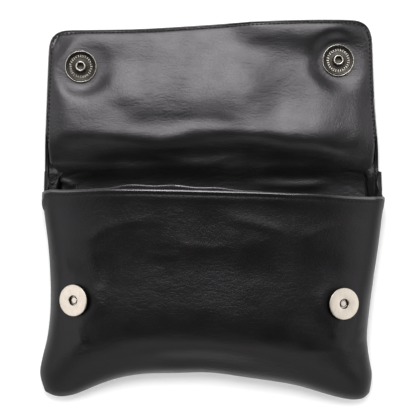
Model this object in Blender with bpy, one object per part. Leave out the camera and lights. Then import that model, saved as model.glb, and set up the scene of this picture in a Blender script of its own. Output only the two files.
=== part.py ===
"""A soft leather belt pouch that lies on its back with its flap laid open.

+Z is up, out of the pouch's front. +Y runs from the pouch to the flap's free edge and +X to the right.
The origin is on the underside of the back, on the surface that the pouch lies on. Sizes are in metres.
"""

import math

import bmesh
import bpy
import numpy as np
from mathutils import Matrix, Vector
from mathutils.bvhtree import BVHTree

# The pouch: its size across the mouth, from the mouth's corners to the bottom corners, and from back to
# crown, then the heights of the mouth and of the seams, and how far the back runs on past the mouth and is
# drawn in there on each side.
POUCH_WIDTH = 0.192
POUCH_HEIGHT = 0.1128
POUCH_DEPTH = 0.036
MOUTH_Y = 0.007
MOUTH_HEIGHT = 0.0335
MOUTH_CORNER_HEIGHT = 0.013
SEAM_HEIGHT = 0.0095
CORNER_SEAM_HEIGHT = 0.006
BACK_RISE = 0.015
BACK_TOP_DRAW = 0.00125
BACK_RIM_AT_MOUTH = 0.0045

# The leathers, and the width and extra thickness of the hem along the mouth.
LEATHER = 0.0016
FACING_LEATHER = 0.0010
LINING_LEATHER = 0.0010
GUSSET_LEATHER = 0.0011
HEM_WIDTH = 0.0065
HEM_EXTRA = 0.0006

# The gussets: how far each folds in at the mouth and at its lower end, and the space that is
# left inside the fold there.
GUSSET_FOLD = 0.0074
GUSSET_END_FOLD = 0.004
GUSSET_END_SPACE = 0.0005
GUSSET_LENGTH = 0.034

# The lining behind the front, and how far its edge stands past the front's edge at most.
LINING_LENGTH = 0.040
LINING_RISE = 0.0033

# The flap: from the back's top edge to its free edge, how much narrower each side is than the back's top
# and draws in by the free edge, its lift off the surface, and its edge.
FLAP_LENGTH = 0.0825
FLAP_SIDE_STEP = 0.00075
FLAP_TIP_DRAW = 0.0025
FLAP_SHIFT = -0.0014
FLAP_LIFT = 0.0060
FLAP_EDGE_SLANT = 0.0055
FLAP_CORNER_RADIUS = 0.0105
TURNED_EDGE = 0.0022
TURNED_STEP = 0.00015
TONGUE_COVER = 0.003
TONGUE_SIDE_STEP = 0.0090

# The magnetic snaps.
SNAP_DIAMETER = 0.018
POST_HALF_HEIGHT = 0.0018
POST_DIAMETER = 0.0059
POST_HEIGHT = 0.0024
POST_HOLE_DIAMETER = 0.0036
MAGNET_HALF_HEIGHT = 0.0032
MAGNET_HOLE_DIAMETER = 0.0054
MAGNET_HOLE_DEPTH = 0.0022
MAGNET_PIN_DIAMETER = 0.0030
MAGNET_PIN_HEIGHT = 0.0007
POST_BAND_DEPTH = 0.0003
POST_RIM = 0.0014
SNAP_CHAMFER = 0.0004
SNAP_SEAT_BLEND = 0.009

# The gap that is kept between touching pieces.
GAP = 0.0003

# What follows from the sizes above.
FLAP_THICKNESS = LEATHER + GAP + FACING_LEATHER
FLAP_WIDTH = POUCH_WIDTH - 2 * (BACK_TOP_DRAW + FLAP_SIDE_STEP)
GUSSET_END = GUSSET_LENGTH / POUCH_HEIGHT

# The left side seam, from the mouth to the corner. Columns: where along the seam, how far out as a share
# of half the pouch's width, and how far down as a share of its height.
LEFT_SEAM = (
    (0.00, 1.000, 0.000),
    (0.10, 0.985, 0.105),
    (0.22, 0.965, 0.235),
    (0.36, 0.955, 0.385),
    (0.52, 0.953, 0.550),
    (0.68, 0.972, 0.700),
    (0.82, 1.006, 0.812),
    (0.92, 1.018, 0.890),
    (1.00, 0.988, 0.972),
)

# The right side seam, with the same columns.
RIGHT_SEAM = (
    (0.00, 1.000, 0.000),
    (0.10, 0.985, 0.105),
    (0.22, 0.968, 0.235),
    (0.36, 0.942, 0.385),
    (0.52, 0.917, 0.550),
    (0.68, 0.900, 0.700),
    (0.82, 0.918, 0.815),
    (0.92, 0.934, 0.895),
    (1.00, 0.918, 0.978),
)

# The front's edge at the mouth. Columns: across as a share of half the width, and down as a share of the
# height, so that a negative value lies above the mouth's corners.
MOUTH_EDGE = (
    (-1.00, 0.000),
    (-0.96, -0.020),
    (-0.88, -0.032),
    (-0.75, -0.038),
    (-0.50, -0.040),
    (0.00, -0.032),
    (0.30, -0.025),
    (0.60, -0.012),
    (0.90, 0.001),
    (1.00, 0.000),
)

# The bottom seam, from the left corner to the right one. Columns: where along the seam, how far across as
# a share of half the width, and how far down as a share of the height.
BOTTOM_SEAM = (
    (-1.00, -0.988, 0.972),
    (-0.93, -0.925, 0.998),
    (-0.85, -0.845, 0.996),
    (-0.72, -0.735, 0.962),
    (-0.60, -0.615, 0.918),
    (-0.45, -0.455, 0.887),
    (-0.20, -0.200, 0.880),
    (0.00, 0.000, 0.876),
    (0.12, 0.120, 0.892),
    (0.30, 0.300, 0.914),
    (0.50, 0.500, 0.942),
    (0.66, 0.660, 0.985),
    (0.80, 0.800, 1.014),
    (0.91, 0.880, 1.008),
    (1.00, 0.918, 0.978),
)

# The folds of the front. Columns: across and down as shares, the direction of the fold's line in degrees
# turned from +X towards +Y, its half length and half width as shares of the pouch's height, and its rise
# as a share of the depth, where a negative rise is a crease.
FRONT_FOLDS = (
    (-0.61, 0.19, 22, 0.22, 0.048, 0.044),
    (-0.55, 0.29, 18, 0.20, 0.050, -0.030),
    (-0.92, 0.34, -52, 0.15, 0.045, 0.038),
    (0.30, 0.20, -12, 0.16, 0.045, 0.026),
    (0.64, 0.19, 14, 0.20, 0.048, 0.040),
    (0.60, 0.29, 8, 0.22, 0.050, -0.028),
    (0.91, 0.74, 34, 0.10, 0.045, -0.044),
    (0.83, 0.68, 28, 0.12, 0.048, 0.030),
    (-0.80, 0.70, 80, 0.10, 0.045, 0.030),
    (-0.10, 0.93, 2, 0.36, 0.048, -0.040),
    (0.08, 0.62, -4, 0.50, 0.110, 0.014),
)

# The ridge across the flap, where it turns down to the mouth. Columns: across as a share of half the width,
# along as a share of the flap's length, and height as a share of its lift.
FLAP_RIDGE = (
    (-1.00, 0.25, 0.78),
    (-0.72, 0.31, 1.00),
    (-0.47, 0.25, 0.90),
    (-0.20, 0.20, 0.80),
    (0.00, 0.28, 0.92),
    (0.16, 0.31, 1.00),
    (0.42, 0.26, 0.92),
    (0.70, 0.24, 1.00),
    (1.00, 0.21, 0.72),
)

# The folds of the flap, with the columns of the front's folds: across and along as shares, the direction,
# the half length and half width as shares of the flap's length, and the rise as a share of its lift.
FLAP_FOLDS = (
    (-0.90, 0.62, -50, 0.13, 0.060, 0.34),
    (-0.60, 0.72, 10, 0.24, 0.080, -0.26),
    (0.62, 0.62, -44, 0.20, 0.065, 0.34),
    (0.88, 0.52, -24, 0.16, 0.060, -0.30),
    (0.54, 0.78, -62, 0.16, 0.065, -0.26),
    (-0.22, 0.40, -34, 0.20, 0.060, -0.26),
    (-0.34, 0.50, -20, 0.26, 0.070, 0.20),
    (0.20, 0.58, 8, 0.30, 0.100, 0.18),
    (-0.88, 0.14, 24, 0.16, 0.050, -0.22),
    (-0.70, 0.95, 2, 0.24, 0.060, 0.22),
)

# Where the snaps sit. Columns: across and down the front, or along the flap, as shares.
BODY_SNAPS = {
    "body_snap_left": (-0.830, 0.486),
    "body_snap_right": (0.773, 0.479),
}
FLAP_SNAPS = {
    "flap_snap_left": (-0.796, 0.728),
    "flap_snap_right": (0.785, 0.735),
}

# The lining's edge. Columns: across as a share of half the width, and how far it stands past the front's
# edge as a share of the most that it does.
LINING_EDGE = (
    (-0.85, 0.00),
    (-0.75, 0.26),
    (-0.57, 0.42),
    (-0.50, 0.92),
    (-0.36, 1.00),
    (-0.28, 0.80),
    (-0.13, 0.58),
    (0.01, 0.60),
    (0.17, 0.50),
    (0.23, 0.40),
    (0.32, -0.25),
    (0.50, -0.45),
    (0.85, -0.45),
)

# The shapes of the curves: shares of the panel's length and powers of its arches.
CROWN_AT = 0.56
DOME_POWER = 2.2
CORNER_FALL_START = 0.6
BOTTOM_FALL_POWER = 4
SLIT_CLOSING = 0.06
BACK_FLAT = 0.86
FLAP_FLAT = 0.05
FLAP_FOLDS_FROM = 0.14
FLAP_SLANT_FROM = -0.30
FLAP_SLANT_TO = 0.37
FLAP_FALL_POWER = 1.2
LINING_REACH = 0.83
HEM_STEP = 0.006
CALM_SIDE = 0.5
CALM_END = 0.06
SEAT_SAMPLES = (0.0, 0.5, 0.8, 1.0)

# A small step, for slopes.
NUDGE = 1e-4

# How finely the pieces are divided.
EDGE_CROWDING = 0.90
COLUMNS = 28
ROWS = 20
BACK_ROWS_ABOVE = 3
GUSSET_COLUMNS = 6
GUSSET_ROWS = 6
FLAP_COLUMNS = 15
FLAP_ROWS = 10
TONGUE_ROWS = 2
SNAP_SIDES = 20
SEAM_SAMPLES = 200
LINES_OUTSIDE_FACING = 3
SHARP_ANGLE = 50

SEAMS = {-1: LEFT_SEAM, 1: RIGHT_SEAM}


def clear_scene():
    for old in list(bpy.data.objects):
        bpy.data.objects.remove(old, do_unlink=True)


def material(name, colour, roughness, metallic):
    made = bpy.data.materials.new(name)
    made.use_nodes = True
    shader = made.node_tree.nodes["Principled BSDF"]
    shader.inputs["Base Color"].default_value = (*colour, 1.0)
    shader.inputs["Roughness"].default_value = roughness
    shader.inputs["Metallic"].default_value = metallic
    return made


def black_leather(name):
    return material(name, (0.018, 0.017, 0.018), 0.50, 0.0)


def facing_leather(name):
    return material(name, (0.024, 0.023, 0.025), 0.34, 0.0)


def lining_leather(name):
    return material(name, (0.030, 0.028, 0.029), 0.55, 0.0)


def dark_nickel(name):
    return material(name, (0.32, 0.30, 0.28), 0.32, 1.0)


def bright_nickel(name):
    return material(name, (0.74, 0.70, 0.64), 0.28, 1.0)


def smooth_curve(rows, column, at):
    """A column of a table read at any place along its first column, on a smooth curve through its rows."""
    places = np.array([row[0] for row in rows], float)
    values = np.array([row[column] for row in rows], float)
    slopes = np.gradient(values, places)
    at = np.clip(at, places[0], places[-1])
    start = np.clip(np.searchsorted(places, at, side="right") - 1, 0, len(places) - 2)
    span = places[start + 1] - places[start]
    t = (at - places[start]) / span
    return (
        (2 * t**3 - 3 * t**2 + 1) * values[start]
        + (t**3 - 2 * t**2 + t) * span * slopes[start]
        + (3 * t**2 - 2 * t**3) * values[start + 1]
        + (t**3 - t**2) * span * slopes[start + 1]
    )


def eased(value, low, high):
    """0 below low, 1 above high, and a smooth rise between."""
    t = np.clip((value - low) / (high - low), 0.0, 1.0)
    return t * t * (3 - 2 * t)


def folds_at(rows, across, along, half_width, length, rise):
    """The height that a table of folds adds at a place given by its shares. The length is negative where
    the share along it runs towards -Y."""
    total = np.zeros(np.broadcast(across, along).shape)
    for fold_across, fold_along, degrees, half_length, half_thickness, fold_rise in rows:
        x = (across - fold_across) * half_width
        y = (along - fold_along) * length
        c = math.cos(math.radians(degrees))
        s = math.sin(math.radians(degrees))
        run = (x * c + y * s) / (half_length * abs(length))
        off = (y * c - x * s) / (half_thickness * abs(length))
        total += fold_rise * rise * np.exp(-(run**2) - off**2)
    return total


def seam_point(rows, side, along):
    """A place on a side seam, for the side -1 or 1."""
    x = side * smooth_curve(rows, 1, along) * POUCH_WIDTH / 2
    y = MOUTH_Y - smooth_curve(rows, 2, along) * POUCH_HEIGHT
    return np.stack([x + 0 * y, y], axis=-1)


def mouth_point(u):
    x = u * POUCH_WIDTH / 2
    y = MOUTH_Y - smooth_curve(MOUTH_EDGE, 1, u) * POUCH_HEIGHT
    return np.stack([x, y], axis=-1)


def bottom_point(u):
    x = smooth_curve(BOTTOM_SEAM, 1, u) * POUCH_WIDTH / 2
    y = MOUTH_Y - smooth_curve(BOTTOM_SEAM, 2, u) * POUCH_HEIGHT
    return np.stack([x, y], axis=-1)


def patch(u, v, mouth, bottom, left, right, corners):
    """A value spread over the panel from its four edges: mouth, bottom, left and right."""
    s = (u + 1) / 2
    mouth_left, mouth_right, bottom_left, bottom_right = corners
    if mouth.ndim > u.ndim:
        s = s[..., None]
        v = v[..., None]
    across = (1 - s) * left + s * right
    down = (1 - v) * mouth + v * bottom
    twice = (1 - s) * (1 - v) * mouth_left + s * (1 - v) * mouth_right
    twice = twice + (1 - s) * v * bottom_left + s * v * bottom_right
    return across + down - twice


def outline(u, v):
    """Where a place of the panel lies on the ground: u runs from side to side, v from mouth to bottom."""
    ends = (mouth_point(-1.0), mouth_point(1.0), bottom_point(-1.0), bottom_point(1.0))
    left = seam_point(LEFT_SEAM, -1, v)
    right = seam_point(RIGHT_SEAM, 1, v)
    return patch(u, v, mouth_point(u), bottom_point(u), left, right, ends)


def seam_height(v):
    """The height at which the front and the back meet along a side."""
    at_mouth = (MOUTH_CORNER_HEIGHT + BACK_RIM_AT_MOUTH) / 2
    upper = at_mouth + (SEAM_HEIGHT - at_mouth) * np.clip(v / GUSSET_END, 0, 1)
    return upper + (CORNER_SEAM_HEIGHT - SEAM_HEIGHT) * eased(v, CORNER_FALL_START, 1.0)


def slit(v):
    """How far apart the rims of the front and the back are along a side."""
    at_mouth = MOUTH_CORNER_HEIGHT - BACK_RIM_AT_MOUTH
    at_end = 2 * GUSSET_LEATHER + 2 * GAP + GUSSET_END_SPACE
    upper = at_mouth + (at_end - at_mouth) * np.clip(v / GUSSET_END, 0, 1)
    return upper + (GAP - at_end) * eased(v, GUSSET_END, GUSSET_END + SLIT_CLOSING)


def bottom_height(u):
    """The height at which the front and the back meet along the bottom."""
    return CORNER_SEAM_HEIGHT + (SEAM_HEIGHT - CORNER_SEAM_HEIGHT) * (1 - np.abs(u) ** BOTTOM_FALL_POWER)


def rim_height(u, v):
    """The height of the front without its dome, spread from its seams and the level of the mouth's corners."""
    mouth = MOUTH_CORNER_HEIGHT + 0 * u
    side = seam_height(v) + slit(v) / 2
    bottom = bottom_height(u) + GAP / 2
    corner = CORNER_SEAM_HEIGHT + GAP / 2
    ends = (MOUTH_CORNER_HEIGHT, MOUTH_CORNER_HEIGHT, corner, corner)
    return patch(u, v, mouth, bottom, side, side, ends)


def dome(u, v):
    """The dome's arch from side to side, and how high it stands in the middle: from the mouth, which it holds
    open, a little up to the crown, and down to the bottom."""
    across = np.sqrt(np.clip(1 - np.abs(u) ** DOME_POWER, 0, 1))
    at_mouth = MOUTH_HEIGHT - MOUTH_CORNER_HEIGHT
    at_crown = POUCH_DEPTH - rim_height(np.array(0.0), np.array(CROWN_AT))
    rise = np.sin(np.pi / 2 * np.clip(v / CROWN_AT, 0, 1))
    fall = np.sqrt(np.clip(1 - np.clip((v - CROWN_AT) / (1 - CROWN_AT), 0, 1) ** DOME_POWER, 0, 1))
    return across, (at_mouth + (at_crown - at_mouth) * rise) * fall


def plain_front(u, v):
    """The front's outer face with its folds, before its snaps are pressed in."""
    across, middle = dome(u, v)
    height = rim_height(u, v) + across * middle
    inside = eased(across, 0, CALM_SIDE) * eased(1 - v, 0, CALM_END) * eased(v, 0, CALM_END)
    height = height + inside * folds_at(
        FRONT_FOLDS, u, v, POUCH_WIDTH / 2, -POUCH_HEIGHT, POUCH_DEPTH
    )
    return np.concatenate([outline(u, v), height[..., None]], axis=-1)


def normals(surface, u, v, top=0.0):
    """The upward directions of a surface whose first share runs to +X and whose second runs to -Y, from the
    value top to 1."""
    du = surface(np.clip(u + NUDGE, -1, 1), v) - surface(np.clip(u - NUDGE, -1, 1), v)
    dv = surface(u, np.clip(v + NUDGE, top, 1)) - surface(u, np.clip(v - NUDGE, top, 1))
    normal = np.cross(dv, du)
    return normal / np.linalg.norm(normal, axis=-1, keepdims=True)


def pressed(points, seats):
    """Points of a face pressed onto the flat seat of each snap, within its disc and a blend round it."""
    points = points.copy()
    for centre, normal in seats:
        off = points - centre
        drop = (off @ normal) / normal[2]
        reach = np.linalg.norm(off - (off @ normal)[..., None] * normal, axis=-1)
        radius = SNAP_DIAMETER / 2 + GAP
        share = 1 - eased(reach, radius, radius + SNAP_SEAT_BLEND)
        points[..., 2] -= share * drop
    return points


def front_seats():
    seats = []
    for u, v in BODY_SNAPS.values():
        place = np.array(u), np.array(v)
        seats.append((plain_front(*place), normals(plain_front, *place)))
    return seats


def front_surface(u, v):
    return pressed(plain_front(u, v), front_seats())


def sheet_object(name, outer, inner, finish):
    """One closed wall between two grids of points, joined all round its edge. Both faces split each of their
    cells along the same diagonal, so that walls laid on each other keep their gap."""
    rows, columns = outer.shape[:2]
    count = rows * columns
    index = np.arange(count).reshape(rows, columns)
    faces = []
    for row in range(rows - 1):
        for column in range(columns - 1):
            a, b = index[row, column], index[row, column + 1]
            c, d = index[row + 1, column + 1], index[row + 1, column]
            faces += [(a, b, c), (a, c, d)]
            faces += [(c + count, b + count, a + count), (d + count, c + count, a + count)]
    rim = [*index[0, :], *index[1:, -1], *index[-1, -2::-1], *index[-2:0:-1, 0]]
    for here, after in zip(rim, rim[1:] + rim[:1]):
        faces.append((after, here, here + count, after + count))
    points = np.concatenate([outer.reshape(-1, 3), inner.reshape(-1, 3)])
    return mesh_object(name, points.tolist(), [[int(i) for i in face] for face in faces], finish)


def mesh_object(name, points, faces, finish):
    mesh = bpy.data.meshes.new(name)
    mesh.from_pydata(points, [], faces)
    build = bmesh.new()
    build.from_mesh(mesh)
    if build.calc_volume(signed=True) < 0:
        bmesh.ops.reverse_faces(build, faces=build.faces)
    build.to_mesh(mesh)
    build.free()
    mesh.shade_smooth()
    mesh.set_sharp_from_angle(angle=math.radians(SHARP_ANGLE))
    made = bpy.data.objects.new(name, mesh)
    bpy.context.scene.collection.objects.link(made)
    mesh.materials.append(finish(name))
    return made


def across_shares():
    """The panels' columns, closer together towards the sides."""
    even = np.linspace(-1, 1, COLUMNS + 1)
    return np.sin(even * np.pi / 2 * EDGE_CROWDING) / math.sin(math.pi / 2 * EDGE_CROWDING)


def down_shares():
    """The panels' rows: two for the hem, then closer together towards the bottom."""
    hem = HEM_WIDTH / POUCH_HEIGHT
    even = np.linspace(0, 1, ROWS - 1)[1:]
    crowded = np.sin(even * np.pi / 2 * EDGE_CROWDING) / math.sin(math.pi / 2 * EDGE_CROWDING)
    below = hem + HEM_STEP + (1 - hem - HEM_STEP) * crowded
    return np.concatenate([[0.0, hem, hem + HEM_STEP], below])


def levelled(normal, points):
    """Directions made level along the sides and the bottom, where front and back meet face to face."""
    normal = normal.copy()
    rim = np.concatenate([points[:, 0], points[-1, 1:-1], points[::-1, -1]])[:, :2]
    run = np.gradient(rim, axis=0)
    out = np.stack([run[:, 1], -run[:, 0], 0 * run[:, 0]], axis=-1)
    out /= np.linalg.norm(out, axis=-1, keepdims=True)
    rows, columns = points.shape[:2]
    normal[:, 0] = out[:rows]
    normal[-1, 1:-1] = out[rows : rows + columns - 2]
    normal[::-1, -1] = out[rows + columns - 2 :]
    return normal


def edge_shares(u, v):
    """How near a place is to the sides and the bottom, as a turn from 0 to 1, and the sides' part in it."""
    side = np.clip((np.abs(u) - BACK_FLAT) / (1 - BACK_FLAT), 0, 1)
    bottom = np.clip((v - BACK_FLAT) / (1 - BACK_FLAT), 0, 1)
    turn = 1 - (1 - side) * (1 - bottom)
    return turn, side**2 / np.maximum(side**2 + bottom**2, NUDGE**2)


def front_panel():
    u, v = np.meshgrid(across_shares(), down_shares())
    skin = front_surface(u, v)
    out = levelled(normals(front_surface, u, v), skin)
    hem = (v <= HEM_WIDTH / POUCH_HEIGHT)[..., None] * HEM_EXTRA
    under = skin - out * LEATHER
    side_share = edge_shares(u, v)[1]
    rim = side_share * (seam_height(v) + slit(v) / 2)
    rim = rim + (1 - side_share) * (bottom_height(u) + GAP / 2)
    under[..., 2] = np.maximum(under[..., 2], rim)
    return sheet_object("front_panel", skin + out * hem, under, black_leather)


def front_lining():
    """The wall behind the front, whose edge stands up past the front's edge along part of the mouth."""
    even = across_shares()
    even = even[np.abs(even) <= LINING_REACH]
    rows = down_shares()
    rows = rows[rows <= LINING_LENGTH / POUCH_HEIGHT]
    u, v = np.meshgrid(even, np.insert(rows, 0, 0.0))
    rise = smooth_curve(LINING_EDGE, 1, even) * LINING_RISE
    v[0] = np.maximum(-rise / POUCH_HEIGHT, 0)
    v[1] = v[0] + np.where(rise > 0, 0, HEM_STEP)
    skin = front_surface(u, v)
    out = normals(front_surface, u, v)
    slope = skin[0] - front_surface(u[0], v[0] + HEM_STEP)
    slope = slope / np.linalg.norm(slope, axis=-1, keepdims=True)
    skin[0] += slope * np.maximum(rise, 0)[..., None]
    skin = skin - out * (LEATHER + GAP)
    return sheet_object("front_lining", skin, skin - out * LINING_LEATHER, lining_leather)


def back_rim_height(v):
    """The height of the back's rim along a side. Above the mouth, v runs from 0 to -1 at the top edge."""
    below = seam_height(v) - slit(v) / 2
    above = BACK_RIM_AT_MOUTH + (FLAP_THICKNESS - BACK_RIM_AT_MOUTH) * np.clip(-v, 0, 1)
    return np.where(v < 0, above, below)


def back_surface(u, v):
    """The back's outer face, flat on the surface it lies on and turned up round its rim."""
    below = outline(u, np.clip(v, 0, 1))
    half_top = POUCH_WIDTH / 2 - BACK_TOP_DRAW
    above = np.stack([u * half_top, 0 * u + MOUTH_Y + BACK_RISE], axis=-1)
    share = np.clip(-v, 0, 1)[..., None]
    ground = below * (1 - share) + above * share
    turn, side_share = edge_shares(u, v)
    rim = side_share * back_rim_height(v) + (1 - side_share) * (bottom_height(u) - GAP / 2)
    height = rim * (1 - np.sqrt(1 - turn**2))
    return np.concatenate([ground, height[..., None]], axis=-1)


def back_panel():
    above = np.linspace(-1, 0, BACK_ROWS_ABOVE + 1)[:-1]
    u, v = np.meshgrid(across_shares(), np.concatenate([above, down_shares()]))
    skin = back_surface(u, v)
    out = levelled(-normals(back_surface, u, v, -1.0), skin)
    inner = skin - out * LEATHER
    side_share = edge_shares(u, v)[1]
    rim = side_share * back_rim_height(v) + (1 - side_share) * (bottom_height(u) - GAP / 2)
    near_rim = np.maximum(np.abs(u), v) > BACK_FLAT
    inner[..., 2] = np.where(near_rim, np.minimum(inner[..., 2], rim), inner[..., 2])
    return sheet_object("back_panel", skin, inner, black_leather)


def gusset(name, side):
    """A side wall folded in between the rims of the front and the back, with a slanting top edge."""
    rows = SEAMS[side]
    fine = np.linspace(0, 1, SEAM_SAMPLES)
    seam_y = seam_point(rows, side, fine)[..., 1]
    s, t = np.meshgrid(np.linspace(0, 1, GUSSET_COLUMNS + 1), np.linspace(0, 1, GUSSET_ROWS + 1))
    top = MOUTH_Y + BACK_RISE * (1 - s) - GAP
    end = seam_point(rows, side, np.array(GUSSET_END))[1]
    y = top + (end - top) * t
    v = np.interp(-y, -seam_y, fine)
    past = np.clip((y - MOUTH_Y) / BACK_RISE, 0, 1)
    rim = seam_point(rows, side, v)[..., 0] - side * BACK_TOP_DRAW * past
    low = back_rim_height(np.where(past > 0, -past, v)) + GAP
    high = seam_height(v) + slit(v) / 2 - GAP
    fold = GUSSET_FOLD + (GUSSET_END_FOLD - GUSSET_FOLD) * t
    bow = np.sin(np.pi * s)
    inner = np.stack([rim - side * fold * bow, y, low + (high - low) * s], axis=-1)
    low = low + GUSSET_LEATHER
    high = high - GUSSET_LEATHER
    depth = (fold - GUSSET_LEATHER) * bow
    outer = np.stack([rim - side * depth, y, low + (high - low) * s], axis=-1)
    return sheet_object(name, outer, inner, black_leather)


def flap_place(x, y):
    """The ground place of a point of the flap, given across and up from the middle of its base, with the
    corners of its free edge rounded and its sides drawn in towards it."""
    radius = FLAP_CORNER_RADIUS
    a = (np.abs(x) - (FLAP_WIDTH / 2 - radius)) / radius
    b = (y - (FLAP_LENGTH - radius)) / radius
    corner = (a > 0) & (b > 0)
    reach = np.where(corner, np.maximum(a, b), 0)
    least = np.where(corner, np.minimum(a, b), 0)
    angle = np.pi / 4 * least / np.maximum(reach, NUDGE)
    angle = np.where(a >= b, angle, np.pi / 2 - angle)
    rounded_x = np.sign(x) * (FLAP_WIDTH / 2 - radius + radius * reach * np.cos(angle))
    rounded_y = FLAP_LENGTH - radius + radius * reach * np.sin(angle)
    x = np.where(corner, rounded_x, x)
    y = np.where(corner, rounded_y, y)
    up = np.clip(y / FLAP_LENGTH, 0, 1)
    slant = eased(x / FLAP_WIDTH, FLAP_SLANT_FROM, FLAP_SLANT_TO) - 0.5
    x = x * (1 - 2 * FLAP_TIP_DRAW / FLAP_WIDTH * up) + FLAP_SHIFT
    y = MOUTH_Y + BACK_RISE + GAP + y + FLAP_EDGE_SLANT * slant * up**2
    return np.stack([x, y], axis=-1)


def plain_flap(x, y):
    """The underside of the flap with its ridge and folds, before its snaps are pressed in."""
    across = x / (FLAP_WIDTH / 2)
    up = np.clip(y / FLAP_LENGTH, 0, 1)
    ridge = smooth_curve(FLAP_RIDGE, 1, across)
    lift = smooth_curve(FLAP_RIDGE, 2, across) * FLAP_LIFT
    near = eased(up, FLAP_FLAT, ridge)
    far = np.cos(np.pi / 2 * np.clip((up - ridge) / (1 - ridge), 0, 1)) ** FLAP_FALL_POWER
    height = lift * np.where(up < ridge, near, far)
    folds = folds_at(FLAP_FOLDS, across, up, FLAP_WIDTH / 2, FLAP_LENGTH, FLAP_LIFT)
    height = height + folds * eased(up, FLAP_FLAT, FLAP_FOLDS_FROM)
    height = np.maximum(height, 0)
    return np.concatenate([flap_place(x, y), height[..., None]], axis=-1)


def flap_seats():
    seats = []
    for across, up in FLAP_SNAPS.values():
        x = np.array(across * FLAP_WIDTH / 2)
        y = np.array(up * FLAP_LENGTH)
        dx = plain_flap(x + NUDGE, y) - plain_flap(x - NUDGE, y)
        dy = plain_flap(x, y + NUDGE) - plain_flap(x, y - NUDGE)
        normal = np.cross(dx, dy)
        seats.append((plain_flap(x, y), normal / np.linalg.norm(normal)))
    return seats


def flap_surface(x, y):
    return pressed(plain_flap(x, y), flap_seats())


def edge_lines():
    """How far in from the flap's edge its close lines lie: turned edge, step down, then facing's edge."""
    step = TURNED_EDGE + TURNED_STEP
    radius = FLAP_CORNER_RADIUS
    return np.array([0, TURNED_EDGE, step, step + GAP, (step + GAP + radius) / 2, radius])


def flap_columns():
    near = edge_lines()
    wide = FLAP_WIDTH / 2
    middle = np.linspace(near[-1] - wide, wide - near[-1], FLAP_COLUMNS + 1)
    return np.concatenate([near[:-1] - wide, middle, wide - near[-2::-1]])


def flap_rows():
    near = edge_lines()
    below = np.linspace(0, FLAP_LENGTH - near[-1], FLAP_ROWS + 1)
    below = np.insert(below, 1, FLAP_FLAT * FLAP_LENGTH)
    return np.concatenate([below, FLAP_LENGTH - near[-2::-1]])[::-1]


def raised(points, height):
    points = points.copy()
    points[..., 2] += height
    return points


def flap():
    """The flap's outer leather, turned over the edge of its facing along its sides and its free edge."""
    x, y = np.meshgrid(flap_columns(), flap_rows())
    under = flap_surface(x, y)
    inset = np.minimum(FLAP_WIDTH / 2 - np.abs(x), FLAP_LENGTH - y)
    turned = inset < TURNED_EDGE + TURNED_STEP / 2
    top = raised(under, np.where(turned, FLAP_THICKNESS, LEATHER))
    return sheet_object("flap", top, under, black_leather)


def flap_facing():
    """The smooth leather inside the flap. Below the flap it narrows a little, to a tongue on the back that
    runs into the mouth."""
    columns = flap_columns()[LINES_OUTSIDE_FACING:-LINES_OUTSIDE_FACING]
    x, y = np.meshgrid(columns, flap_rows()[LINES_OUTSIDE_FACING:])
    x[-1] = columns * (POUCH_WIDTH / 2 - TONGUE_SIDE_STEP) / columns[-1] - FLAP_SHIFT
    deep = np.linspace(0, BACK_RISE + TONGUE_COVER, TONGUE_ROWS + 1)[1:]
    under = flap_surface(x, y)
    tongue = np.stack([under[-1] - np.array([0, depth, 0]) for depth in (0, *deep)])
    past = MOUTH_Y - tongue[..., 1]
    down = np.where(past < 0, past / BACK_RISE, past / POUCH_HEIGHT)
    tongue[..., 2] += back_surface(tongue[..., 0] / (POUCH_WIDTH / 2), down)[..., 2]
    under = raised(np.concatenate([under[:-1], tongue]), LEATHER + GAP)
    return sheet_object("flap_facing", raised(under, FACING_LEATHER), under, facing_leather)


def turned_object(name, profile, finish):
    """A round piece turned about Z from a profile of radius and height, which starts and ends on the axis."""
    points = [(0.0, 0.0, profile[0][1])]
    for radius, height in profile[1:-1]:
        for side in range(SNAP_SIDES):
            angle = 2 * math.pi * side / SNAP_SIDES
            points.append((radius * math.cos(angle), radius * math.sin(angle), height))
    points.append((0.0, 0.0, profile[-1][1]))
    rings = len(profile) - 2
    last = len(points) - 1
    faces = []
    for side in range(SNAP_SIDES):
        after = (side + 1) % SNAP_SIDES
        faces.append((0, 1 + after, 1 + side))
        for ring in range(rings - 1):
            low = 1 + ring * SNAP_SIDES
            high = low + SNAP_SIDES
            faces.append((low + side, low + after, high + after, high + side))
        top = 1 + (rings - 1) * SNAP_SIDES
        faces.append((top + side, top + after, last))
    return mesh_object(name, points, faces, finish)


def seated(piece, carrier, normal, centre):
    """Sets a disc on the leather that carries it, square to its seat, with the gap at its nearest point."""
    normal = Vector(normal)
    turn = Vector((0, 0, 1)).rotation_difference(normal).to_matrix().to_4x4()
    tree = BVHTree.FromPolygons(
        [vertex.co.copy() for vertex in carrier.data.vertices],
        [list(face.vertices) for face in carrier.data.polygons],
    )
    far = POUCH_DEPTH
    highest = -far
    for share in SEAT_SAMPLES:
        for side in range(SNAP_SIDES):
            angle = 2 * math.pi * side / SNAP_SIDES
            radius = share * SNAP_DIAMETER / 2
            spot = turn @ Vector((radius * math.cos(angle), radius * math.sin(angle), 0))
            start = Vector(centre) + spot + normal * far / 2
            hit, _, _, distance = tree.ray_cast(start, -normal, far)
            if hit is not None:
                highest = max(highest, far / 2 - distance)
    piece.matrix_world = Matrix.Translation(Vector(centre) + normal * (highest + GAP)) @ turn


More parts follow.
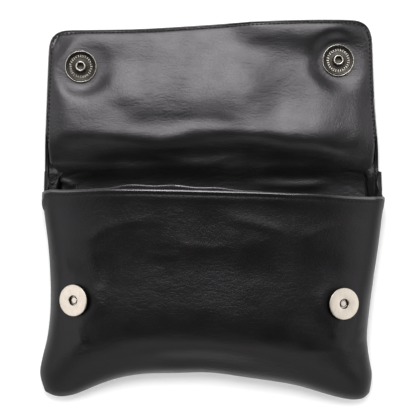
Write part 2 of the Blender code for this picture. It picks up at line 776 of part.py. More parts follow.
def magnet_half_profile():
    radius = SNAP_DIAMETER / 2
    height = MAGNET_HALF_HEIGHT
    hole = MAGNET_HOLE_DIAMETER / 2
    floor = height - MAGNET_HOLE_DEPTH
    return (
        (0, 0),
        (radius - SNAP_CHAMFER, 0),
        (radius, SNAP_CHAMFER),
        (radius, height - SNAP_CHAMFER),
        (radius - SNAP_CHAMFER, height),
        (hole + SNAP_CHAMFER / 2, height),
        (hole, height - SNAP_CHAMFER / 2),
        (hole, floor),
        (MAGNET_PIN_DIAMETER / 2, floor),
        (MAGNET_PIN_DIAMETER / 2, floor + MAGNET_PIN_HEIGHT),
        (0, floor + MAGNET_PIN_HEIGHT),
    )


def post_half_profile():
    radius = SNAP_DIAMETER / 2
    height = POST_HALF_HEIGHT
    band = height - POST_BAND_DEPTH
    post = POST_DIAMETER / 2
    hole = POST_HOLE_DIAMETER / 2
    top = height + POST_HEIGHT
    return (
        (0, 0),
        (radius - SNAP_CHAMFER, 0),
        (radius, SNAP_CHAMFER),
        (radius, height - SNAP_CHAMFER),
        (radius - SNAP_CHAMFER, height),
        (radius - POST_RIM, height),
        (radius - POST_RIM - POST_BAND_DEPTH, band),
        (post, band),
        (post, top - SNAP_CHAMFER / 2),
        (post - SNAP_CHAMFER / 2, top),
        (hole, top),
        (hole, band),
        (0, band),
    )


def build():
    clear_scene()
    front = front_panel()
    back_panel()
    front_lining()
    gusset("left_gusset", -1)
    gusset("right_gusset", 1)
    flap()
    facing = flap_facing()
    for name, (centre, normal) in zip(BODY_SNAPS, front_seats()):
        magnet_half = turned_object(name, magnet_half_profile(), bright_nickel)
        seated(magnet_half, front, normal, centre)
    for name, (centre, normal) in zip(FLAP_SNAPS, flap_seats()):
        post_half = turned_object(name, post_half_profile(), dark_nickel)
        seated(post_half, facing, normal, centre + np.array([0, 0, FLAP_THICKNESS]))
    bpy.context.view_layer.update()


build()
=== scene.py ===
"""The looks of a soft black leather belt pouch that lies open on a pale studio floor.

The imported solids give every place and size. Each leather piece starts as a copy of its solid, is divided
finely, and gets its folds, grain and stitches here. Sizes are in metres, in the frame's own axes: +Z is up,
out of the pouch's front, and +Y runs towards the flap's free edge.
"""

import math

import bmesh
import bpy
import numpy as np
from mathutils import Matrix, Vector, noise
from mathutils.bvhtree import BVHTree


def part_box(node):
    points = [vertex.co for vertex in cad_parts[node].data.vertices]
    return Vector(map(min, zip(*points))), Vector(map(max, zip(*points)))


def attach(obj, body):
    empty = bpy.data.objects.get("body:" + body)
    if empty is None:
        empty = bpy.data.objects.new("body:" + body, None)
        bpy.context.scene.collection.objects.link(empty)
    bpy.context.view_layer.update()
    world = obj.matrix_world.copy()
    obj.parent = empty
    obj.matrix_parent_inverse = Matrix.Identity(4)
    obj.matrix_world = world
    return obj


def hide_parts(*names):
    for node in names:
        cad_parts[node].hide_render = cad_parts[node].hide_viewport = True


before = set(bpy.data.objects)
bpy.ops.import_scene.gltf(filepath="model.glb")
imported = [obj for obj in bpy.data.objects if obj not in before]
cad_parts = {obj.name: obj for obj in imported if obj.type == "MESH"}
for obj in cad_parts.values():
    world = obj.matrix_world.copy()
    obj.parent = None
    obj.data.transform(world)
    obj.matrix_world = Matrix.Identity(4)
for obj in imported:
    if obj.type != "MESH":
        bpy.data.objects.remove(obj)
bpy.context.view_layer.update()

# The back: one panel of soft black leather that lies on the floor. It is turned up round its rim, where it
# is sewn to the front inside out, and runs on past the mouth to the root of the flap.
SHARP_TURN = math.radians(50)
FLAT_ENOUGH = math.radians(40)
ANY_SHAPE = math.radians(180)
WELD = 1e-6
CREASE_LEVELS = 10
ROLL_LINES = (0.0030, 0.0007)
FOLD_POINTS = 60
FOLD_REACH = 3
FOLD_END = 0.25
ROLL_PAST_ROOT = 0.004
ROLL_HALF_LENGTH = 0.2
ROLL_RISE = 0.0030
ROLL_WIDTHS = (0.020, 0.0078)
LEATHER_TINT = (1, 0.955, 1, 1)
DULLER = 0.05


def wall_copy(node):
    """A clean copy of a packed leather wall, in four-sided faces where its triangles pair up."""
    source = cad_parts[node].data
    build = bmesh.new()
    corners = [build.verts.new(vertex.co) for vertex in source.vertices]
    for face in source.polygons:
        build.faces.new([corners[index] for index in face.vertices])
    bmesh.ops.remove_doubles(build, verts=build.verts, dist=WELD)
    bmesh.ops.join_triangles(
        build, faces=build.faces, angle_face_threshold=FLAT_ENOUGH, angle_shape_threshold=ANY_SHAPE
    )
    mesh = bpy.data.meshes.new(node)
    build.to_mesh(mesh)
    build.free()
    return mesh


def points_of(mesh):
    flat = np.empty(len(mesh.vertices) * 3)
    mesh.vertices.foreach_get("co", flat)
    return flat.reshape(-1, 3)


def set_points(mesh, points):
    mesh.vertices.foreach_set("co", np.asarray(points, np.float32).ravel())
    mesh.update()


def sharp_edges(mesh):
    """Which edges turn sharply, as an array of True and False."""
    build = bmesh.new()
    build.from_mesh(mesh)
    sharp = np.array([edge.calc_face_angle(0) > SHARP_TURN for edge in build.edges])
    build.free()
    return sharp


def placed(name, data):
    """A new object in the scene."""
    made = bpy.data.objects.new(name, data)
    bpy.context.scene.collection.objects.link(made)
    return made


def divided(mesh, levels, rolled_above):
    """The mesh after some levels of subdivision. Its sharp edges and the corners where three of them meet
    are held for the first level, except above a place along Y, where the edge is rolled."""
    pairs = np.array([edge.vertices[:] for edge in mesh.edges])
    along = points_of(mesh)[:, 1]
    sharp = sharp_edges(mesh)
    kept = sharp & ((along[pairs[:, 0]] < rolled_above) | (along[pairs[:, 1]] < rolled_above))
    meeting = np.bincount(pairs[sharp].ravel(), minlength=len(mesh.vertices))
    hold = math.sqrt(1 / CREASE_LEVELS)
    for name, domain, values in (("crease_edge", "EDGE", kept), ("crease_vert", "POINT", meeting > 2)):
        crease = mesh.attributes.get(name) or mesh.attributes.new(name, "FLOAT", domain)
        crease.data.foreach_set("value", values * hold)
    work = placed("work", mesh)
    subdivision = work.modifiers.new("divide", "SUBSURF")
    subdivision.levels = levels
    subdivision.render_levels = levels
    graph = bpy.context.evaluated_depsgraph_get()
    finished = bpy.data.meshes.new_from_object(work.evaluated_get(graph))
    for name in ("crease_edge", "crease_vert"):
        if finished.attributes.get(name):
            finished.attributes.remove(finished.attributes[name])
    bpy.data.objects.remove(work)
    return finished


def relax(mesh, rounds):
    """Evens out the faces between the sharp edges, which stay where they are."""
    pairs = np.array([edge.vertices[:] for edge in mesh.edges])
    free = np.ones(len(mesh.vertices))
    free[pairs[sharp_edges(mesh)].ravel()] = 0
    points = points_of(mesh)
    count = np.bincount(pairs.ravel(), minlength=len(points))
    for _ in range(rounds):
        total = np.zeros_like(points)
        np.add.at(total, pairs[:, 0], points[pairs[:, 1]])
        np.add.at(total, pairs[:, 1], points[pairs[:, 0]])
        points += (total / count[:, None] - points) * free[:, None] / 2
    set_points(mesh, points)


def add_lines(mesh, above, distances):
    """Adds lines of points along an edge that lies above a place along Y, at distances from that edge."""
    for distance in distances:
        build = bmesh.new()
        build.from_mesh(mesh)
        new = []
        for edge in list(build.edges):
            near, far = sorted(edge.verts, key=lambda corner: -corner.co.y)
            if near.co.y > above > far.co.y and edge.calc_length() > distance:
                new.append(bmesh.utils.edge_split(edge, near, distance / edge.calc_length())[1])
        bmesh.ops.connect_verts(build, verts=new)
        build.to_mesh(mesh)
        build.free()


def leather_wall(node, name, material, levels, rounds, rolled_above=1):
    """The finely divided leather that stands for a packed wall, at that wall's own length and width."""
    mesh = wall_copy(node)
    if rolled_above < 1:
        add_lines(mesh, rolled_above, ROLL_LINES)
    mesh = divided(mesh, 1, rolled_above)
    relax(mesh, rounds)
    mesh = divided(mesh, levels - 1, rolled_above)
    low, high = (np.array(corner)[:2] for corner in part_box(node))
    points = points_of(mesh)
    lowest, highest = points[:, :2].min(0), points[:, :2].max(0)
    points[:, :2] = low + (points[:, :2] - lowest) * (high - low) / (highest - lowest)
    set_points(mesh, points)
    mesh.shade_smooth()
    mesh.materials.append(material)
    piece = placed(name, mesh)
    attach(piece, "root")
    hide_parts(node)
    return piece


def smooth_path(places, count):
    """Points on a smooth line through a few places, as an array."""
    places = np.array(places, float)
    padded = np.concatenate([[2 * places[0] - places[1]], places, [2 * places[-1] - places[-2]]])
    at = np.linspace(0, len(places) - 1, count)
    start = np.minimum(at.astype(int), len(places) - 2)
    t = (at - start)[:, None]
    a, b, c, d = (padded[start + step] for step in range(4))
    return b + t * (c - a + t * (2 * a - 5 * b + 4 * c - d + t * (3 * b - a - 3 * c + d))) / 2


def ramp(values, start, end):
    """0 up to the start, 1 from the end on, and evenly between them. The end may be the lesser one."""
    return np.clip((values - start) / (end - start), 0, 1)


def eased(share):
    """A share from 0 to 1 that leaves 0 and reaches 1 softly."""
    return share * share * (3 - 2 * share)


def bell(distance, width):
    """1 at no distance, and less and less to both sides, over a width."""
    return np.exp(-((distance / width) ** 2))


def fold(points, places, rise, left_width, right_width):
    """Lifts the leather along a line. The lift fades out over one width to the left of the line, over
    another to its right, and towards both its ends."""
    path = smooth_path(places, FOLD_POINTS)
    reach = FOLD_REACH * max(left_width, right_width)
    near = np.all((points[:, :2] > path.min(0) - reach) & (points[:, :2] < path.max(0) + reach), axis=1)
    chosen = points[near, :2]
    distance = np.full(len(chosen), np.inf)
    along = np.zeros(len(chosen))
    left = np.zeros(len(chosen), bool)
    for index, (start, end) in enumerate(zip(path, path[1:])):
        run = end - start
        off = chosen - start
        t = np.clip(off @ run / (run @ run), 0, 1)
        away = off - t[:, None] * run
        length = np.hypot(*away.T)
        closer = length < distance
        distance[closer] = length[closer]
        along[closer] = (index + t[closer]) / (len(path) - 1)
        left[closer] = run[0] * away[closer, 1] > run[1] * away[closer, 0]
    width = np.where(left, left_width, right_width)
    fade = eased(ramp(np.minimum(along, 1 - along), 0, FOLD_END))
    points[near, 2] += rise * fade * bell(distance, width)


def rippled(points, rise, across, along, seed, slack):
    """Adds the soft unevenness of slack leather, in waves of a given size across and along. The slack is 0
    where the leather is held, and 1 where it is free."""
    lift = [noise.noise(Vector((x / across, y / along, seed))) for x, y in points[:, :2]]
    points[:, 2] += rise * np.array(lift) * slack


def new_group(name, taken, shown):
    """A group of shader nodes that takes numbers, with their usual values, and shows others. The sockets of
    both come with it."""
    group = bpy.data.node_groups.new(name, "ShaderNodeTree")
    for socket, value in taken.items():
        made = group.interface.new_socket(name=socket, in_out="INPUT", socket_type="NodeSocketFloat")
        made.default_value = value
    for socket in shown:
        group.interface.new_socket(name=socket, in_out="OUTPUT", socket_type="NodeSocketFloat")
    return group, group.nodes.new("NodeGroupInput").outputs, group.nodes.new("NodeGroupOutput").inputs


def put_node(tree, kind, given=(), **settings):
    """A shader node with its settings. Its sockets take given values, or what other nodes put out. What it
    puts out itself comes back."""
    made = tree.nodes.new(f"ShaderNode{kind}")
    for name, value in settings.items():
        setattr(made, name, value)
    for socket, value in dict(given).items():
        if isinstance(value, bpy.types.NodeSocket):
            tree.links.new(value, made.inputs[socket])
        else:
            made.inputs[socket].default_value = value
    return made.outputs


def new_material(name, given):
    """A new material with given values on its shader's sockets. Its tree and those sockets come with it."""
    made = bpy.data.materials.new(name)
    made.use_nodes = True
    shader = made.node_tree.nodes["Principled BSDF"].inputs
    for socket, value in given.items():
        shader[socket].default_value = value
    return made, made.node_tree, shader


def put_looks(tree, shader, source, mask, height, colours, spread, roughness, depth):
    """Lets a mask take a shader from one colour and roughness to others, and gives it a height's relief."""
    mixed = {"Factor": source[mask], "A": (*colours[0], 1), "B": (*colours[1], 1)}
    colour = put_node(tree, "Mix", mixed, data_type="RGBA")
    span = {"From Min": spread[0], "From Max": spread[1], "To Min": roughness[0], "To Max": roughness[1]}
    dull = put_node(tree, "MapRange", {"Value": source[mask]} | span)
    relief = put_node(tree, "Bump", {"Height": source[height], "Distance": depth})
    tree.links.new(colour["Result"], shader["Base Color"])
    tree.links.new(dull["Result"], shader["Roughness"])
    tree.links.new(relief["Normal"], shader["Normal"])


def leather_grain():
    """Grain of tanned leather: small rounded pebbles parted by fine creases, deeper in some places, with
    fine wrinkles drawn out across some patches of it."""
    taken = {"Pebble": 0.0009, "Creases": 0.5, "Wrinkles": 1.0}
    group, given, shown = new_group("leather grain", taken, ("Height", "Patches"))
    place = put_node(group, "TexCoord")

    # Pebbles, whose rows a little noise sways.
    size = put_node(group, "Math", {0: 1, 1: given["Pebble"]}, operation="DIVIDE")
    sway = put_node(group, "TexNoise", {"Vector": place["Object"], "Scale": 260})
    added = {0: sway["Color"], 1: (0.0012, 0.0012, 0.0012), 2: place["Object"]}
    swayed = put_node(group, "VectorMath", added, operation="MULTIPLY_ADD")
    rows = {"Vector": swayed[0], "Scale": size[0], "Smoothness": 0.6}
    pebbles = put_node(group, "TexVoronoi", rows, feature="SMOOTH_F1")

    # Creases, about three pebbles apart.
    wide = put_node(group, "Math", {0: size[0], 1: 0.32}, operation="MULTIPLY")
    net = {"Vector": swayed[0], "Scale": wide[0]}
    creases = put_node(group, "TexVoronoi", net, feature="DISTANCE_TO_EDGE")
    opened = put_node(group, "MapRange", {"Value": creases["Distance"], "From Max": 0.10})
    cut = put_node(group, "Math", {0: opened["Result"], 1: given["Creases"]}, operation="MULTIPLY")

    # Patches where the pebbles stand deeper.
    patches = put_node(group, "TexNoise", {"Vector": place["Object"], "Scale": 42, "Detail": 4})
    round_tops = put_node(group, "Math", {0: 1, 1: pebbles["Distance"]}, operation="SUBTRACT")
    deeper = {0: round_tops[0], 1: patches["Fac"], 2: cut[0]}
    depth = put_node(group, "Math", deeper, operation="MULTIPLY_ADD")

    # Wrinkles, drawn out nearly across the pouch, where the patches are.
    stretch = {"Vector": swayed[0], "Rotation": (0, 0, 0.25), "Scale": (110, 300, 200)}
    drawn = put_node(group, "Mapping", stretch)
    lines = put_node(group, "TexNoise", {"Vector": drawn["Vector"], "Scale": 1, "Detail": 3})
    middle = put_node(group, "Math", {0: lines["Fac"], 1: 0.5}, operation="SUBTRACT")
    ridged = put_node(group, "Math", {0: middle[0]}, operation="ABSOLUTE")
    shallow = put_node(group, "MapRange", {"Value": ridged[0], "From Max": 0.12})
    where = put_node(group, "MapRange", {"Value": patches["Fac"], "From Min": 0.42, "From Max": 0.60})
    amount = put_node(group, "Math", {0: where["Result"], 1: given["Wrinkles"]}, operation="MULTIPLY")
    laid_over = {0: shallow["Result"], 1: amount[0], 2: depth[0]}
    wrinkled = put_node(group, "Math", laid_over, operation="MULTIPLY_ADD")
    group.links.new(wrinkled[0], shown["Height"])
    group.links.new(patches["Fac"], shown["Patches"])
    return group


GRAIN = leather_grain()


def leather(name, colour, lit_colour, roughness, gloss, pebble, creases, wrinkles, depth):
    """Black leather: its dye is a little lighter in patches, where it is also a little duller."""
    looks = {"Specular IOR Level": gloss, "Specular Tint": LEATHER_TINT}
    made, tree, shader = new_material(name, looks)
    marks = {"Pebble": pebble, "Creases": creases, "Wrinkles": wrinkles}
    grain = put_node(tree, "Group", marks, node_tree=GRAIN)
    colours = (colour, lit_colour)
    span = (roughness - DULLER, roughness + DULLER)
    put_looks(tree, shader, grain, "Patches", "Height", colours, (0.3, 0.7), span, depth)
    return made


outer_leather = leather(
    "outer leather",
    (0.0026, 0.0023, 0.0026), (0.0046, 0.0042, 0.0047), roughness=0.37, gloss=0.22,
    pebble=0.0009, creases=0.5, wrinkles=1.0, depth=0.00005,
)

# Where the back bends up into the flap, the leather lifts off the floor in one long roll.
root_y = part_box("flap")[0].y
roll_line = [(side * ROLL_HALF_LENGTH, root_y + ROLL_PAST_ROOT) for side in (-1, 1)]
ROOT_ROLL = (roll_line, ROLL_RISE, *ROLL_WIDTHS)

back = leather_wall("back_panel", "back_leather", outer_leather, levels=2, rounds=3)
back_points = points_of(back.data)
fold(back_points, *ROOT_ROLL)
set_points(back.data, back_points)

# The gussets: a thin leather wall folded inwards at each end of the mouth, sewn between the rims of the
# front and the back, so that the mouth can open. Past the front's corner the fold runs out to a narrow
# edge.
GUSSET_NARROWS = (0.001, 0.010)
GUSSET_NARROW = 0.45
MOUTH_CORNER_Y = 0.0062
GUSSET_RIM_START = -0.05
GUSSET_STATIONS = 50
STATION_REACH = 0.7
GUSSET_FOLLOWS = (0.010, 0.004)
GUSSET_SET_IN = 0.0004
GUSSET_SEWN = 0.0040
GUSSET_MIDDLE = 0.0090
GUSSET_FREE = (0.0115, 0.0085)
SEAM_GAP = 0.00005
HAIR = 1e-6
gussets = {}

for side, sign in (("left", -1), ("right", 1)):
    name = f"{side}_gusset_leather"
    gusset = leather_wall(f"{side}_gusset", name, outer_leather, levels=3, rounds=2)
    gusset_points = points_of(gusset.data)
    seam = (sign * gusset_points[:, 0]).max()
    narrow = ramp(gusset_points[:, 1], *GUSSET_NARROWS) * (1 - GUSSET_NARROW)
    gusset_points[:, 0] = sign * (seam - (seam - sign * gusset_points[:, 0]) * (1 - narrow))
    fold(gusset_points, *ROOT_ROLL)
    set_points(gusset.data, gusset_points)
    gussets[sign] = gusset


def surface_of(mesh):
    """A mesh that rays can be cast onto."""
    faces = [list(face.vertices) for face in mesh.polygons]
    return BVHTree.FromPolygons([vertex.co for vertex in mesh.vertices], faces)


def sew_in(gusset, sign, rim_line, front_surface, back_surface):
    """Brings a gusset's edges in under the front's rim, and then up to the front and down to the back."""
    points = points_of(gusset.data)
    beside = (rim_line[:, 1] > GUSSET_RIM_START) & (rim_line[:, 1] < MOUTH_CORNER_Y)
    rim_line = rim_line[beside & (sign * rim_line[:, 0] > 0)]
    rim_line = rim_line[np.argsort(rim_line[:, 1])]
    rim = np.interp(points[:, 1], rim_line[:, 1], sign * rim_line[:, 0]) - GUSSET_SET_IN
    outward = sign * points[:, 0]
    stations = np.linspace(points[:, 1].min(), points[:, 1].max(), GUSSET_STATIONS)
    reach = STATION_REACH * (stations[1] - stations[0])
    seam_at = [outward[np.abs(points[:, 1] - station) < reach].max() for station in stations]
    seam = np.interp(points[:, 1], stations, seam_at)
    outward += (rim - seam) * ramp(points[:, 1], *GUSSET_FOLLOWS)
    points[:, 0] = sign * outward
    set_points(gusset.data, points)
    surface = surface_of(gusset.data)
    share = eased(ramp(rim - outward, GUSSET_SEWN, 0)) * ramp(points[:, 1], *GUSSET_FREE)
    for index in np.flatnonzero(share):
        x, y, z = points[index]
        way, wall = (1, front_surface) if z > GUSSET_MIDDLE else (-1, back_surface)
        reached = wall.ray_cast(Vector((x, y, GUSSET_MIDDLE)), Vector((0, 0, way)))[0]
        if reached is None:
            continue
        leaf = surface.ray_cast(reached - Vector((0, 0, way * HAIR)), Vector((0, 0, -way)))[0]
        if leaf is not None and way * (reached.z - leaf.z) > 0:
            points[index, 2] += share[index] * (reached.z - leaf.z - way * SEAM_GAP)
    set_points(gusset.data, points)


# The lining: thin matt leather behind the front. Its turned edge stands up wavily past the front's edge
# along part of the mouth, where it isn't sewn tight.
OUTLINE_REACH = 0.3
OUTLINE_HALVINGS = 18
OUTLINE_POINTS = 900
EDGE_STEP = 0.0005
EDGE_SMOOTHING = 6
LINING_EDGE_INSET = 0.0006
LINING_BEAD = (0.00055, 0.0024, 0.0009)
LINING_EDGE_WAVE = 0.0003
LINING_WAVE_TURN = 260
LINING_WAVE_START = 0.8
LINING_EVENED = 0.75
LINING_SMOOTHING = 60
LINING_LOOSE = (0.0035, 0.0085)
LINING_GLOSS_HIGHLIGHT_WIDTH = 0.0006

lining_leather = leather(
    "lining leather",
    (0.0022, 0.0020, 0.0022), (0.0038, 0.0035, 0.0038), roughness=0.42, gloss=0.28,
    pebble=0.0007, creases=0.4, wrinkles=0.6, depth=0.00004,
)
# A glossier, lighter copy of the black leather for the rims. The gloss is the rims' rubbed polish, and the
# lighter colour is a painted highlight along them.
rim_highlight_leather = leather(
    "rim highlight leather",
    (0.0060, 0.0056, 0.0060), (0.0100, 0.0094, 0.0100), roughness=0.26, gloss=1.0,
    pebble=0.0008, creases=0.3, wrinkles=0.4, depth=0.00003,
)


def height_on(surface, x, y):
    """The height of a surface from above, or None beside it."""
    hit = surface.ray_cast(Vector((x, y, 1)), Vector((0, 0, -1)))[0]
    return None if hit is None else hit.z


def outline_of(surface, centre, count):
    """The outline of a surface as seen from above, walked round a centre that sees all of it."""
    outline = []
    for turn in np.linspace(-np.pi / 2, 1.5 * np.pi, count, endpoint=False):
        inner, outer = 0.0, OUTLINE_REACH
        for _ in range(OUTLINE_HALVINGS):
            middle = (inner + outer) / 2
            x = centre[0] + middle * math.cos(turn)
            y = centre[1] + middle * math.sin(turn)
            if height_on(surface, x, y) is None:
                outer = middle
            else:
                inner = middle
        outline.append((centre[0] + inner * math.cos(turn), centre[1] + inner * math.sin(turn)))
    return np.array(outline)


def even_steps(path, step):
    """The same line with its points a given step apart."""
    lengths = np.concatenate([[0], np.cumsum(np.linalg.norm(np.diff(path, axis=0), axis=1))])
    at = np.arange(0, lengths[-1], step)
    return np.stack([np.interp(at, lengths, column) for column in path.T], axis=-1)


def middle_line(values, reach):
    """A row of values with its unevenness taken out over some neighbours to each side."""
    return np.convolve(np.pad(values, reach, "edge"), np.ones(2 * reach + 1) / (2 * reach + 1), "valid")


def moved_in(path, distance):
    """A line moved to its left, after its small unevenness is taken out."""
    runs = np.gradient(path, axis=0).T
    soft = np.stack([middle_line(column, EDGE_SMOOTHING) for column in runs], axis=-1)
    soft /= np.linalg.norm(soft, axis=1)[:, None]
    return path + distance * np.stack([-soft[:, 1], soft[:, 0]], axis=-1)


def nearest_on(points, line):
    """Each place's distance from the nearest point of a line, seen from above, and that point's number."""
    distance = np.full(len(points), np.inf)
    nearest = np.zeros(len(points), int)
    for number, place in enumerate(line):
        reach = np.hypot(points[:, 0] - place[0], points[:, 1] - place[1])
        nearest[reach < distance] = number
        distance = np.minimum(distance, reach)
    return distance, nearest


def gloss_and_highlight_rim(mesh, line, width):
    """Gives the faces along an edge a glossier leather, as rubbed rims have, whose lighter colour is a
    painted highlight along the edge.
    """
    mesh.materials.append(rim_highlight_leather)
    centres = np.empty(len(mesh.polygons) * 3)
    mesh.polygons.foreach_get("center", centres)
    on_rim = nearest_on(centres.reshape(-1, 3), line)[0] < width
    mesh.polygons.foreach_set("material_index", on_rim.astype(np.int32))


lining = leather_wall("front_lining", "lining_leather_wall", lining_leather, levels=3, rounds=2)
lining_points = points_of(lining.data)
lining_low, lining_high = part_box("front_lining")
lining_middle = (lining_low + lining_high) / 2
lining_outline = outline_of(surface_of(lining.data), lining_middle, OUTLINE_POINTS)
lining_edge = even_steps(lining_outline[lining_outline[:, 1] > MOUTH_CORNER_Y], EDGE_STEP)
fold(lining_points, moved_in(lining_edge, LINING_EDGE_INSET), *LINING_BEAD)
loose = ramp(lining_points[:, 1], *LINING_LOOSE)
edge_x, edge_y = lining_edge[::-1].T
edge_now = np.interp(lining_points[:, 0], edge_x, edge_y)
middling = np.interp(lining_points[:, 0], edge_x, middle_line(edge_y, LINING_SMOOTHING))
wave = LINING_EDGE_WAVE * np.sin(lining_points[:, 0] * LINING_WAVE_TURN + LINING_WAVE_START)
lining_points[:, 1] += loose * (wave - LINING_EVENED * (edge_now - middling))
set_points(lining.data, lining_points)
lining_edge = even_steps(outline_of(surface_of(lining.data), lining_middle, OUTLINE_POINTS), EDGE_STEP)
# The lining's rim gets the glossier leather, with its painted highlight.
gloss_and_highlight_rim(lining.data, lining_edge[lining_edge[:, 1] > LINING_LOOSE[0]], LINING_GLOSS_HIGHLIGHT_WIDTH)

# The front: one panel of the same soft leather, domed over what the pouch holds. Its top edge is rolled in
# and sewn with one row of black thread, and it falls in soft folds from the snaps and the corners.
HEM_BEAD_INSET = 0.0012
HEM_BEAD = (0.00042, 0.0010, 0.0016)
HEM_GLOSS_HIGHLIGHT_WIDTH = 0.0014
HEM_SEAM_INSET = 0.0029
HEM_SEAM = (-0.00010, 0.0007, 0.0007)
HEM_SEAM_ENDS = 8
HEM_STITCHES = (0.0024, 0.0018)
HEM_INSETS = (0, 0.0003, 0.0006, 0.0009, 0.0012, 0.0030)
NEW_HEM_INSETS = (0, 0.00006, 0.00018, 0.00042, 0.0008, 0.0030)
FRONT_OUTLINE_POINTS = 1200
COARSE_STEP = 0.002
FRONT_CALM_EDGE = 0.012

# Ripples of the front. Columns: the rise, the size across and along, and the noise's own layer.
FRONT_RIPPLES = ((0.00020, 0.022, 0.014, 3.0), (0.00006, 0.007, 0.005, 8.0))

# The mouth's left corner stands a little higher than its plain outline.
CORNER_LIFT = 0.0022
CORNER_INSET = 0.0015
CORNER_REACH = 0.0090
CORNER_RISES = (-0.012, 0.006)

# The back's rim and the front's meet over a short width, past the lower ends of the gussets.
RIM_INSET = 0.0006
RIM_REACH = 0.0030
RIM_STEP = 0.001
RIM_SMOOTHING = 3
RIM_MEETS = (-0.022, -0.030)

# The snaps' seats, pressed flat into the leather.
BODY_SNAPS = ("body_snap_left", "body_snap_right")
SEAT_RADIUS = 0.0094
SEAT_REACH = 0.0055
SEAT_GAP = 0.00005
SEAT_LEVEL = 0.7
SEAT_LIFT = 0.0008
LEAST_SHARE = 0.001

# Thread, and how a stitch's bar is made.
THREAD = 0.00056
THREAD_STANDS = 0.22
THREAD_SINKS = 0.75
THREAD_THINS = 0.35
STITCH_RINGS = 7
STITCH_SIDES = 6

front_low, front_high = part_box("front_panel")


def fold_all(points, folds, low, high):
    """Folds leather along lines that are given in shares of a panel's box: -1 to 1 from side to side, and 0
    to 1 from its lower edge to its upper one."""
    for line, rise, left_width, right_width in folds:
        places = []
        for across, along in line:
            x = (low.x + high.x) / 2 + across * (high.x - low.x) / 2
            places.append((x, low.y + along * (high.y - low.y)))
        fold(points, places, rise, left_width, right_width)


# Folds of the front. Columns: the line in shares, the rise, and the widths to the left and right of it.
FRONT_FOLDS = (
    (((-1.0, 0.82), (-0.89, 0.785), (-0.80, 0.77), (-0.69, 0.77), (-0.62, 0.81), (-0.52, 0.835),
      (-0.38, 0.85), (-0.20, 0.855)), 0.00040, 0.0032, 0.0030),
    (((0.02, 0.87), (0.18, 0.85), (0.28, 0.83), (0.37, 0.81), (0.47, 0.77)), 0.00030, 0.0032, 0.0030),
    (((0.44, 0.755), (0.57, 0.78), (0.66, 0.81), (0.76, 0.83), (0.90, 0.84)), 0.00035, 0.0034, 0.0030),
    (((-0.76, 0.74), (-0.67, 0.66), (-0.64, 0.56), (-0.66, 0.50)), 0.00045, 0.0040, 0.0055),
    (((-0.20, 0.735), (-0.12, 0.735), (-0.01, 0.728), (0.12, 0.735)), 0.00022, 0.0022, 0.0030),
    (((-0.40, 0.70), (-0.28, 0.69), (-0.16, 0.695)), 0.00018, 0.0020, 0.0026),
    (((-0.88, 0.71), (-0.84, 0.64), (-0.80, 0.57)), 0.00035, 0.0030, 0.0040),
    (((-0.71, 0.53), (-0.655, 0.48), (-0.65, 0.40)), 0.00040, 0.0035, 0.0040),
    (((-0.78, 0.39), (-0.76, 0.32), (-0.73, 0.24)), 0.00060, 0.0030, 0.0035),
    (((0.66, 0.31), (0.76, 0.335), (0.88, 0.375)), 0.00045, 0.0028, 0.0028),
    (((0.74, 0.25), (0.85, 0.275), (0.95, 0.30)), -0.00060, 0.0026, 0.0022),
    (((0.48, 0.24), (0.67, 0.255), (0.84, 0.26)), 0.00045, 0.0035, 0.0035),
    (((-0.64, 0.34), (-0.35, 0.30), (-0.07, 0.27), (0.22, 0.262), (0.50, 0.27)), 0.00035, 0.0060, 0.0060),
    (((-0.36, 0.21), (-0.21, 0.205), (-0.04, 0.204), (0.13, 0.186),
      (0.29, 0.167)), -0.00070, 0.0045, 0.0045),
    (((-1.0, 0.42), (0.0, 0.42), (1.0, 0.42)), -0.0018, 0.0480, 0.0180),
    (((-1.0, 0.985), (0.0, 0.985), (1.0, 0.985)), 0.0009, 0.0040, 0.0120),
)


def thread_material():
    """Waxed black polyester thread of two twisted strands."""
    looks = {"Base Color": (0.0040, 0.0038, 0.0040, 1), "Roughness": 0.6, "Specular IOR Level": 0.2}
    made, tree, shader = new_material("black thread", looks)
    place = put_node(tree, "TexCoord")
    strands = {"Vector": place["Object"], "Scale": 900}
    twist = put_node(tree, "TexWave", strands, bands_direction="DIAGONAL")
    relief = put_node(tree, "Bump", {"Height": twist["Fac"], "Distance": 0.00006})
    tree.links.new(relief["Normal"], shader["Normal"])
    return made


black_thread = thread_material()


def stitch_row(name, path, surface, pitch, length):
    """Bars of thread along a line on the leather, one for each stitch, sunk into it at both ends."""
    spots = even_steps(path, pitch)
    vertices, faces = [], []
    for here, after in zip(spots, spots[1:]):
        run = (after - here) / np.linalg.norm(after - here)
        heights = [height_on(surface, *(here + run * length * share)) for share in (0, 0.5, 1)]
        if None in heights:
            continue
        base = len(vertices)
        for ring in range(STITCH_RINGS):
            share = ring / (STITCH_RINGS - 1)
            sink = (2 * share - 1) ** 4
            ground = np.interp(share, (0, 0.5, 1), heights) + THREAD * (THREAD_STANDS - THREAD_SINKS * sink)
            radius = THREAD / 2 * (1 - THREAD_THINS * sink)
            centre = here + run * length * share
            for side in range(STITCH_SIDES):
                turn = 2 * math.pi * side / STITCH_SIDES
                off = radius * math.cos(turn)
                x, y = centre[0] - run[1] * off, centre[1] + run[0] * off
                vertices.append((x, y, ground + radius * math.sin(turn)))
        for ring in range(STITCH_RINGS - 1):
            first = base + ring * STITCH_SIDES
            for side in range(STITCH_SIDES):
                a, b = first + side, first + (side + 1) % STITCH_SIDES
                faces.append((a, b, b + STITCH_SIDES, a + STITCH_SIDES))
        last = base + (STITCH_RINGS - 1) * STITCH_SIDES
        faces.append(tuple(range(base + STITCH_SIDES - 1, base - 1, -1)))
        faces.append(tuple(range(last, last + STITCH_SIDES)))
    mesh = bpy.data.meshes.new(name)
    mesh.from_pydata(vertices, [], faces)
    mesh.shade_smooth()
    mesh.materials.append(black_thread)
    row = placed(name, mesh)
    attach(row, "root")
    return row


